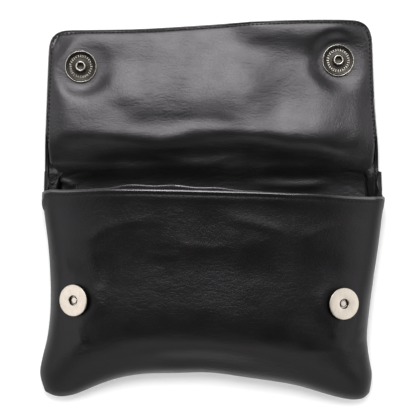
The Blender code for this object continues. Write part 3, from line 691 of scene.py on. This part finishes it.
def seat_of(node):
    """The middle of a packed snap's underside, and the direction that the snap faces."""
    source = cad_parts[node]
    places = np.array([source.matrix_world @ vertex.co for vertex in source.data.vertices])
    middle = places.mean(axis=0)
    axis = np.linalg.svd(places - middle, full_matrices=False)[2][2]
    axis *= np.sign(axis[2])
    foot = middle + axis * ((places - middle) @ axis).min()
    axis[1] *= 1 - SEAT_LEVEL
    return foot, axis / np.linalg.norm(axis)


def pressed(points, surface, node):
    """Sets leather flat under a snap, and blends that into the leather round it."""
    middle, axis = seat_of(node)
    off = points[:, :2] - middle[:2]
    share = bell(np.maximum(np.hypot(*off.T) - SEAT_RADIUS, 0), SEAT_REACH)
    for index in np.flatnonzero(share > LEAST_SHARE):
        height = height_on(surface, *points[index, :2])
        if height is not None:
            plane = middle[2] - (off[index] @ axis[:2]) / axis[2]
            points[index, 2] += share[index] * min(plane - SEAT_GAP - height, SEAT_LIFT)


def remap_insets(points, line, insets, new_insets, share):
    """Moves leather across an edge, so that what lay at some distances from the edge lies at others."""
    inward = moved_in(line, 1.0) - line
    nearest = nearest_on(points, line)[1]
    inset = np.sum((points[:, :2] - line[nearest]) * inward[nearest], axis=1)
    change = (np.interp(inset, insets, new_insets) - inset) * share * (inset < insets[-1])
    points[:, :2] += change[:, None] * inward[nearest]


def draw_up(piece, rim_line, wall_above, wall_below):
    """Draws the back's rim up to the front's, where the two are sewn together past the gussets."""
    points = points_of(piece.data)
    rim_line = even_steps(np.concatenate([rim_line, rim_line[:1]]), RIM_STEP)
    gaps = np.zeros(len(rim_line))
    for index, (x, y) in enumerate(moved_in(rim_line, RIM_INSET)):
        below = height_on(wall_below, x, y)
        if below is not None:
            above = wall_above.ray_cast(Vector((x, y, below)), Vector((0, 0, 1)))[0]
            gaps[index] = 0 if above is None else above.z - below - SEAM_GAP
    gaps = middle_line(gaps, RIM_SMOOTHING)
    distance, nearest = nearest_on(points, rim_line)
    share = eased(ramp(distance, RIM_INSET + RIM_REACH, RIM_INSET)) * ramp(points[:, 1], *RIM_MEETS)
    points[:, 2] += share * gaps[nearest]
    set_points(piece.data, points)


front = leather_wall(
    "front_panel", "front_leather", outer_leather, levels=3, rounds=3, rolled_above=MOUTH_CORNER_Y
)
front_points = points_of(front.data)
corner = bell(front_points[:, 0] - front_low.x - CORNER_INSET, CORNER_REACH)
front_points[:, 1] += CORNER_LIFT * corner * ramp(front_points[:, 1], *CORNER_RISES) ** 2
set_points(front.data, front_points)
front_middle = (front_low + front_high) / 2
front_outline = outline_of(surface_of(front.data), front_middle, FRONT_OUTLINE_POINTS)
mouth_edge = even_steps(front_outline[front_outline[:, 1] > MOUTH_CORNER_Y], EDGE_STEP)
front_points = points_of(front.data)
from_rim = nearest_on(front_points, even_steps(front_outline, COARSE_STEP))[0]
for ripple in FRONT_RIPPLES:
    rippled(front_points, *ripple, ramp(from_rim, 0, FRONT_CALM_EDGE))
fold_all(front_points, FRONT_FOLDS, front_low, front_high)
fold(front_points, moved_in(mouth_edge, HEM_BEAD_INSET), *HEM_BEAD)
fold(front_points, moved_in(mouth_edge, HEM_SEAM_INSET), *HEM_SEAM)
remap_insets(front_points, mouth_edge, HEM_INSETS, NEW_HEM_INSETS, front_points[:, 1] > 0)
set_points(front.data, front_points)
for node in BODY_SNAPS:
    pressed(front_points, surface_of(front.data), node)
set_points(front.data, front_points)
# The front's rolled mouth edge gets the glossier leather, with its painted highlight.
gloss_and_highlight_rim(front.data, mouth_edge, HEM_GLOSS_HIGHLIGHT_WIDTH)
front_surface = surface_of(front.data)
draw_up(back, front_outline, front_surface, surface_of(back.data))
back_surface = surface_of(back.data)
for sign, gusset in gussets.items():
    sew_in(gusset, sign, front_outline, front_surface, back_surface)
hem_line = moved_in(mouth_edge, HEM_SEAM_INSET)[HEM_SEAM_ENDS:-HEM_SEAM_ENDS]
hem_stitches = stitch_row("hem_stitches", hem_line, front_surface, *HEM_STITCHES)

# The flap: the back's leather carried on as a flap that lies open, its edge turned up over the edge of the
# facing along both sides and the free edge, and sewn down with one row of black thread. The turned edge
# runs on over the back at both ends of the root, and goes down into the mouth.
EDGE_RUN_INNER = 0.0860
EDGE_RUN_BLEND = 0.0035
EDGE_RUN_START = 0.0060
EDGE_RUN_END = -0.0040
EDGE_RUN_GAP = 0.0002
EDGE_RUN_THICKENING = 1.2
EDGE_RUN_FOOT = 0.98
ROOT_TUCK = 0.0020
ROOT_THINNING = 0.4
ROOT_HEIGHT = 0.0008
FLAP_CALM_EDGE = 0.012
LIP_INSETS = (0, 0.0028, 0.0090)
NARROW_LIP_INSETS = (0, 0.0010, 0.0090)
LIP_FADE = (0.006, 0.020)
LIP_GLOSS_HIGHLIGHT_WIDTH = 0.0010

# The flap swells a little past its plain outline: how far, where in shares, and over what share.
TOP_SWELL = 0.0008
TOP_SWELL_MIDDLE = 0.49
SIDE_SWELL = 0.0013
SIDE_SWELL_MIDDLE = 0.08
SWELL_WIDTH = 0.25

# Ripples of the flap, in the front's columns.
FLAP_RIPPLES = ((0.00028, 0.026, 0.016, 5.0), (0.00010, 0.009, 0.006, 9.0))

# Folds of the flap, in the front's columns. A panel's lower edge is here the flap's root.
FLAP_FOLDS = (
    (((-1.04, 0.15), (-0.94, 0.17), (-0.79, 0.215), (-0.63, 0.22), (-0.47, 0.20), (-0.32, 0.185),
      (-0.20, 0.215), (-0.11, 0.25), (-0.02, 0.255), (0.18, 0.235), (0.44, 0.19), (0.66, 0.16),
      (0.89, 0.125), (1.04, 0.10)), 0.0011, 0.0060, 0.0080),
    (((0.30, 0.15), (0.55, 0.14), (0.80, 0.12), (1.00, 0.09)), 0.0010, 0.0085, 0.0070),
    (((-0.55, 0.36), (-0.40, 0.40), (-0.10, 0.39), (0.12, 0.385), (0.26, 0.35)), 0.0005, 0.010, 0.0055),
    (((0.05, 1.15), (0.25, 1.04), (0.42, 0.975), (0.60, 0.96), (0.80, 0.96),
      (1.10, 0.965)), 0.0048, 0.010, 0.0135),
    (((-0.92, 0.80), (-0.72, 0.84), (-0.45, 0.86), (-0.05, 0.89)), 0.0008, 0.006, 0.010),
    (((0.05, 0.24), (0.36, 0.27), (0.54, 0.27), (0.85, 0.22)), 0.0014, 0.013, 0.009),
    (((-0.80, 0.50), (-0.30, 0.56), (0.10, 0.55), (0.45, 0.45)), 0.0012, 0.020, 0.016),
    (((-0.98, 0.00), (-0.79, 0.09), (-0.55, 0.11), (-0.30, 0.085), (-0.06, 0.05), (0.15, 0.09),
      (0.34, 0.10), (0.55, 0.08), (0.90, 0.05)), 0.0003, 0.0025, 0.0035),
)

flap_low, flap_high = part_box("flap")


def bent_like_the_flap(points):
    """The flap's leather and its facing bend together, so both take the same folds. They also swell a
    little past the plain outline, at the free edge and at the right of the root."""
    across = ramp(points[:, 0], flap_low.x, flap_high.x)
    along = ramp(points[:, 1], flap_low.y, flap_high.y)
    points[:, 1] += TOP_SWELL * bell(across - TOP_SWELL_MIDDLE, SWELL_WIDTH) * along**2
    points[:, 0] += SIDE_SWELL * bell(along - SIDE_SWELL_MIDDLE, SWELL_WIDTH) * across**4
    fold(points, *ROOT_ROLL)
    fold_all(points, FLAP_FOLDS, flap_low, flap_high)
    slack = ramp(points[:, 1], flap_low.y, flap_low.y + FLAP_CALM_EDGE)
    for ripple in FLAP_RIPPLES:
        rippled(points, *ripple, slack)


def narrow_lip(points):
    """Narrows the turned edge past the root, where more of it has slipped round to the flap's back."""
    share = ramp(points[:, 1] - flap_low.y, *LIP_FADE)
    remap_insets(points, flap_rim, LIP_INSETS, NARROW_LIP_INSETS, share)


flap = leather_wall("flap", "flap_leather", outer_leather, levels=3, rounds=3)
flap_points = points_of(flap.data)
tucked = ramp(flap_points[:, 1], flap_low.y + ROOT_TUCK, flap_low.y)
flap_points[:, 1] -= tucked * ROOT_TUCK
flap_points[:, 2] += tucked * ROOT_THINNING * (ROOT_HEIGHT - flap_points[:, 2])
bent_like_the_flap(flap_points)

# The turned edge's run over the back, at both ends of the root.
outer = eased(ramp(np.abs(flap_points[:, 0]), EDGE_RUN_INNER, EDGE_RUN_INNER + EDGE_RUN_BLEND))
down = ramp(flap_points[:, 1], flap_low.y + EDGE_RUN_START, flap_low.y - ROOT_TUCK)
foot = flap_points[down > EDGE_RUN_FOOT, 2].min()
for index in np.flatnonzero(outer * down):
    share = outer[index] * down[index]
    flap_points[index, 1] -= share * (flap_low.y - ROOT_TUCK - EDGE_RUN_END)
    ground = height_on(back_surface, *flap_points[index, :2])
    if ground is not None:
        lifted = ground + EDGE_RUN_GAP + (flap_points[index, 2] - foot) * EDGE_RUN_THICKENING
        flap_points[index, 2] += share * (lifted - flap_points[index, 2])
set_points(flap.data, flap_points)

flap_outline = outline_of(surface_of(flap.data), (flap_low + flap_high) / 2, OUTLINE_POINTS)
flap_rim = even_steps(flap_outline, EDGE_STEP)
narrow_lip(flap_points)
set_points(flap.data, flap_points)
# The flap's turned edge gets the glossier leather, with its painted highlight.
gloss_and_highlight_rim(flap.data, flap_rim[flap_rim[:, 1] > flap_low.y + LIP_FADE[1]], LIP_GLOSS_HIGHLIGHT_WIDTH)

# The facing: the smooth, glossier leather inside the flap, laid over thin padding that is drawn down round
# the edge and at each snap. It runs down over the back into the mouth.
PADDING = 0.0014
PADDING_SIDE_SLOPE = 0.0060
PADDING_TOP_SLOPE = 0.0120
PADDING_EDGE = 0.0012
PADDING_TOP = 0.012
PADDING_SIDE_START = 0.004
PADDING_ROOT = (0.030, 0.046)
SNAP_PULL = 0.0080
SNAP_PULL_SHARE = 0.6
SEAM_GROOVE_INSET = 0.0015
SEAM_GROOVE = (-0.0002, 0.0006, 0.0006)
FLAP_SEAM_INSET = 0.0017
FLAP_SEAM_START = 0.006
FLAP_SEAM_IN_MOUTH = 0.003
FLAP_STITCHES = (0.0024, 0.0019)
FLAP_SNAPS = ("flap_snap_left", "flap_snap_right")

# Folds of the facing inside the mouth, in the flap's columns and shares.
TONGUE_FOLDS = (
    (((0.24, -0.075), (0.40, -0.09), (0.56, -0.095), (0.76, -0.075)), 0.0008, 0.0018, 0.0034),
    (((-0.96, -0.02), (-0.90, -0.065), (-0.80, -0.11)), 0.0005, 0.0015, 0.0020),
)

facing_leather = leather(
    "facing leather",
    (0.0016, 0.0015, 0.0017), (0.0028, 0.0026, 0.0029), roughness=0.36, gloss=0.6,
    pebble=0.0007, creases=0.35, wrinkles=0.7, depth=0.00005,
)
facing = leather_wall("flap_facing", "facing_leather_wall", facing_leather, levels=3, rounds=3)
facing_points = points_of(facing.data)


def padding_at(points):
    """How far the padding lifts the facing."""
    edge = even_steps(flap_outline, COARSE_STEP)
    on_top = edge[:, 1] > flap_high.y - PADDING_TOP
    sides = edge[(edge[:, 1] > flap_low.y + PADDING_SIDE_START) & ~on_top]
    from_sides, from_top = (nearest_on(points, line)[0] - PADDING_EDGE for line in (sides, edge[on_top]))
    lift = 1 - bell(np.maximum(from_sides, 0), PADDING_SIDE_SLOPE)
    lift *= 1 - np.exp(-np.maximum(from_top, 0) / PADDING_TOP_SLOPE)
    for node in FLAP_SNAPS:
        reach = np.hypot(*(points[:, :2] - seat_of(node)[0][:2]).T)
        lift *= 1 - SNAP_PULL_SHARE * bell(np.maximum(reach - SEAT_RADIUS, 0), SNAP_PULL)
    return PADDING * lift * eased(ramp(points[:, 1], *PADDING_ROOT))


bent_like_the_flap(facing_points)
narrow_lip(facing_points)
facing_points[:, 2] += padding_at(facing_points)
fold(facing_points, moved_in(flap_rim, SEAM_GROOVE_INSET), *SEAM_GROOVE)
fold_all(facing_points, TONGUE_FOLDS, flap_low, flap_high)
set_points(facing.data, facing_points)
facing_surface = surface_of(facing.data)
for node in FLAP_SNAPS:
    pressed(facing_points, facing_surface, node)
    pressed(flap_points, facing_surface, node)
set_points(facing.data, facing_points)
set_points(flap.data, flap_points)

sewn_edge = moved_in(flap_rim, FLAP_SEAM_INSET)
sewn_edge = sewn_edge[sewn_edge[:, 1] > flap_low.y + FLAP_SEAM_START]
sewn_ends = [(place[0], EDGE_RUN_END + FLAP_SEAM_IN_MOUTH) for place in (sewn_edge[0], sewn_edge[-1])]
sewn_edge = np.concatenate([sewn_ends[:1], sewn_edge, sewn_ends[1:]])
sewn_mesh = bmesh.new()
sewn_mesh.from_mesh(flap.data)
sewn_mesh.from_mesh(facing.data)
sewn_walls = BVHTree.FromBMesh(sewn_mesh)
sewn_mesh.free()
flap_stitches = stitch_row("flap_stitches", sewn_edge, sewn_walls, *FLAP_STITCHES)

# The snaps: two pressed steel halves each, nickel plated. The flap carries the dark post halves, with a
# recessed band and a round post, and the front the pale magnet halves, with a hole and a rivet inside it.
# The magnet halves' side walls and the walls of their holes are near black, a painted shade.
TURNED_SIDES = 72
BEAD_SIDES = 10
SHARP_METAL = math.radians(40)
SNAP_RADIUS = 0.009
PLATING_SHINE = (-0.03, 0.04)
SCRATCH_DEPTH = 0.000003
SOFT_CORNERS = (0, 0.25, 0.5, 0.75, 1)
CORNERS_TO_A_SIDE = 2.2


def wear_group():
    """Fine scratches and handling marks on plated metal."""
    group, given, shown = new_group("handling wear", {"Fineness": 900}, ("Marks",))
    place = put_node(group, "TexCoord")
    stretch = {"Vector": place["Object"], "Rotation": (0.3, 0.2, 0.7), "Scale": (1, 0.4, 1)}
    drawn = put_node(group, "Mapping", stretch)
    fine = {"Vector": drawn["Vector"], "Scale": given["Fineness"], "Detail": 5}
    scratches = put_node(group, "TexNoise", fine)
    group.links.new(scratches["Fac"], shown["Marks"])
    return group


WEAR = wear_group()


def plated(name, colour, worn_colour, roughness):
    """Plated steel, a little duller and browner where it is marked."""
    made, tree, shader = new_material(name, {"Metallic": 1})
    wear = put_node(tree, "Group", node_tree=WEAR)
    span = (roughness + PLATING_SHINE[0], roughness + PLATING_SHINE[1])
    colours = (colour, worn_colour)
    put_looks(tree, shader, wear, "Marks", "Marks", colours, (0.35, 0.65), span, SCRATCH_DEPTH)
    return made


def rounded(profile, radius):
    """A profile of radius and height with its corners rounded. A short side limits the rounding."""
    profile = [np.array(place, float) for place in profile]
    softened = [profile[0]]
    for before, corner, after in zip(profile, profile[1:], profile[2:]):
        back, on = before - corner, after - corner
        shorter = min(np.linalg.norm(back), np.linalg.norm(on))
        cut = min(radius, shorter / CORNERS_TO_A_SIDE)
        start = corner + back / np.linalg.norm(back) * cut
        end = corner + on / np.linalg.norm(on) * cut
        for t in SOFT_CORNERS:
            softened.append((1 - t) ** 2 * start + 2 * t * (1 - t) * corner + t * t * end)
    return softened + [profile[-1]]


def turned(profile):
    """Points and faces of a round piece turned from a profile that starts and ends on its axis."""
    turns = np.linspace(0, 2 * np.pi, TURNED_SIDES, endpoint=False)
    points = [(0, 0, profile[0][1])]
    for radius, height in profile[1:-1]:
        points += [(radius * math.cos(turn), radius * math.sin(turn), height) for turn in turns]
    points.append((0, 0, profile[-1][1]))
    faces = []
    for side in range(TURNED_SIDES):
        after = (side + 1) % TURNED_SIDES
        faces.append((0, 1 + after, 1 + side))
        for ring in range(len(profile) - 3):
            low = 1 + ring * TURNED_SIDES
            high = low + TURNED_SIDES
            faces.append((low + side, low + after, high + after, high + side))
        faces.append((high + side, high + after, len(points) - 1))
    return points, faces


def ribs(count, inner, outer, width, base, top):
    """Points and faces of raised bars that stand round an axis, each pointing away from it."""
    points, faces = [], []
    for turn in np.linspace(0, 2 * np.pi, count, endpoint=False):
        first = len(points)
        for height, half, shrink in ((base, width / 2, 0), (top, width / 4, width / 5)):
            for radius, side in ((inner + shrink, -half), (outer - shrink, -half),
                                 (outer - shrink, half), (inner + shrink, half)):
                points.append((
                    radius * math.cos(turn) - side * math.sin(turn),
                    radius * math.sin(turn) + side * math.cos(turn),
                    height,
                ))
        faces.append((first + 4, first + 5, first + 6, first + 7))
        for corner in range(4):
            after = (corner + 1) % 4
            faces.append((first + corner, first + after, first + after + 4, first + corner + 4))
    return points, faces


def bead(radius, thickness, height):
    """Points and faces of a round bead that runs in a ring round an axis."""
    points, faces = [], []
    for turn in np.linspace(0, 2 * np.pi, TURNED_SIDES, endpoint=False):
        for lean in np.linspace(0, 2 * np.pi, BEAD_SIDES, endpoint=False):
            reach = radius + thickness / 2 * math.cos(lean)
            points.append((reach * math.cos(turn), reach * math.sin(turn),
                           height + thickness / 2 * math.sin(lean)))
    for ring in range(TURNED_SIDES):
        after = (ring + 1) % TURNED_SIDES
        for side in range(BEAD_SIDES):
            beside = (side + 1) % BEAD_SIDES
            faces.append((ring * BEAD_SIDES + side, after * BEAD_SIDES + side,
                          after * BEAD_SIDES + beside, ring * BEAD_SIDES + beside))
    return points, faces


def snap_half(node, name, parts, finishes):
    """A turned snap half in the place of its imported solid. Its parts have one finish each."""
    points, faces, finish_of_face = [], [], []
    for number, (more_points, more_faces) in enumerate(parts):
        faces += [tuple(index + len(points) for index in face) for face in more_faces]
        points += more_points
        finish_of_face += [min(number, len(finishes) - 1)] * len(more_faces)
    mesh = bpy.data.meshes.new(name)
    mesh.from_pydata(points, [], faces)
    mesh.shade_smooth()
    mesh.set_sharp_from_angle(angle=SHARP_METAL)
    for finish in finishes:
        mesh.materials.append(finish)
    mesh.polygons.foreach_set("material_index", finish_of_face)
    middle, axis = seat_of(node)
    turn = Vector((0, 0, 1)).rotation_difference(Vector(axis)).to_matrix().to_4x4()
    mesh.transform(Matrix.Translation(Vector(middle)) @ turn)
    piece = placed(name, mesh)
    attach(piece, "root")
    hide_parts(node)
    return piece


POST_PROFILE = (
    (0, 0), (SNAP_RADIUS, 0), (SNAP_RADIUS, 0.0018), (0.0083, 0.0018), (0.0080, 0.0015), (0.0074, 0.0015),
    (0.0071, 0.00125), (0.0034, 0.00125), (0.00295, 0.0016), (0.00295, 0.0042), (0.0019, 0.0042),
    (0.0018, 0.0015), (0, 0.0015),
)
MAGNET_PROFILE = (
    (0, 0.0006), (0.0088, 0.0006), (0.0088, 0.0032), (0.0027, 0.0032), (0.0027, 0.0010), (0, 0.0010),
)
SHELL_PROFILE = (
    (0, 0), (SNAP_RADIUS, 0), (SNAP_RADIUS, 0.0029), (0.0087, 0.0029), (0.0087, 0.0002), (0, 0.0002),
)
WELL_PROFILE = (
    (0, 0.0004), (0.00265, 0.0004), (0.00265, 0.0029), (0.0025, 0.0029), (0.0025, 0.0006), (0, 0.0006),
)
PIN_PROFILE = ((0, 0.0005), (0.0018, 0.0005), (0.0018, 0.0019), (0, 0.0019))
dark_nickel = plated("dark nickel", (0.036, 0.033, 0.029), (0.022, 0.020, 0.018), roughness=0.22)
rubbed_nickel = plated("rubbed nickel", (0.50, 0.47, 0.42), (0.34, 0.32, 0.28), roughness=0.24)
bright_nickel = plated("bright nickel", (0.52, 0.465, 0.41), (0.44, 0.395, 0.34), roughness=0.36)
# Near-black plating for the magnet halves' side walls and hole walls: a painted shade.
shade_painted_nickel = plated("shade painted nickel", (0.020, 0.018, 0.015), (0.012, 0.011, 0.009), roughness=0.35)
post_parts = (
    turned(rounded(POST_PROFILE, 0.0003)),
    ribs(count=28, inner=0.0052, outer=0.0066, width=0.00055, base=0.0011, top=0.0015),
    bead(radius=0.0087, thickness=0.00045, height=0.0017),
    bead(radius=0.0024, thickness=0.0009, height=0.0041),
)
for node in FLAP_SNAPS:
    snap_half(node, f"{node}_post_half", post_parts, (dark_nickel, rubbed_nickel))
magnet_parts = (
    turned(rounded(MAGNET_PROFILE, 0.0004)),
    turned(rounded(SHELL_PROFILE, 0.0001)),
    turned(rounded(WELL_PROFILE, 0.0001)),
    turned(rounded(PIN_PROFILE, 0.0004)),
)
# The side wall and the hole's wall take the painted shade; the top and the rivet are pale.
magnet_finishes = (bright_nickel, shade_painted_nickel, shade_painted_nickel, bright_nickel)
for node in BODY_SNAPS:
    snap_half(node, f"{node}_magnet_half", magnet_parts, magnet_finishes)

# The studio: a pale floor under the pouch, a wide soft light with a bright core over the flap's side and a
# narrow one beyond it, weaker fills from the left, the right and the pouch's lower side, and the camera
# straight above.
floor_mesh = bpy.data.meshes.new("floor")
floor_mesh.from_pydata([(-4, -4, 0), (4, -4, 0), (4, 4, 0), (-4, 4, 0)], [], [(0, 1, 2, 3)])
floor = placed("floor", floor_mesh)
floor.location.z = -0.0004
pale = {"Base Color": (0.9, 0.9, 0.9, 1), "Roughness": 0.9}
glow = {"Emission Color": (1, 1, 1, 1), "Emission Strength": 0.15}
floor_mesh.materials.append(new_material("floor paint", pale | glow)[0])

# Soft boxes. Columns: the name, the place, the width and height, and how bright the face is.
SOFT_BOXES = (
    ("key", (0, 0.70, 1.44), 1.05, 0.80, 2.8),
    ("key_core", (0, 0.60, 1.48), 0.80, 0.48, 6.0),
    ("key_far", (-0.20, 1.05, 1.30), 0.44, 0.42, 13.0),
    ("front_fill", (0, -1.29, 0.94), 1.6, 0.72, 1.3),
    ("left_fill", (-1.25, 0, 0.95), 1.6, 1.0, 1.7),
    ("right_fill", (1.25, 0, 0.95), 1.6, 1.0, 1.7),
)


def soft_light(name, place, width, height, brightness):
    """A soft box that faces the pouch. Its power follows from its size and how bright its face is."""
    light = bpy.data.lights.new(name, "AREA")
    light.shape = "RECTANGLE"
    light.size = width
    light.size_y = height
    light.energy = brightness * math.pi * width * height
    box = placed(name, light)
    box.location = place
    box.rotation_euler = (-Vector(place)).to_track_quat("-Z", "Y").to_euler()
    box.visible_camera = False


for soft_box in SOFT_BOXES:
    soft_light(*soft_box)

# The studio's walls are pale near the floor and fall away to a dark ceiling.
world = bpy.data.worlds.new("studio")
world.use_nodes = True
walls = world.node_tree
direction = put_node(walls, "TexCoord")
upward = put_node(walls, "SeparateXYZ", {"Vector": direction["Generated"]})
falls = {"Value": upward["Z"], "From Min": 0.25, "From Max": 0.80, "To Min": 0.9, "To Max": 0.05}
brightness = put_node(walls, "MapRange", falls, interpolation_type="SMOOTHSTEP")
background = walls.nodes["Background"].inputs
background["Color"].default_value = (1, 1, 1, 1)
walls.links.new(brightness["Result"], background["Strength"])
bpy.context.scene.world = world

lens = bpy.data.cameras.new("camera")
lens.sensor_width = 36
lens.lens = 151.04
camera = placed("camera", lens)
camera.location = (-0.0028, 0.0003, 1.0)
bpy.context.scene.camera = camera
bpy.context.scene.view_settings.view_transform = "Standard"
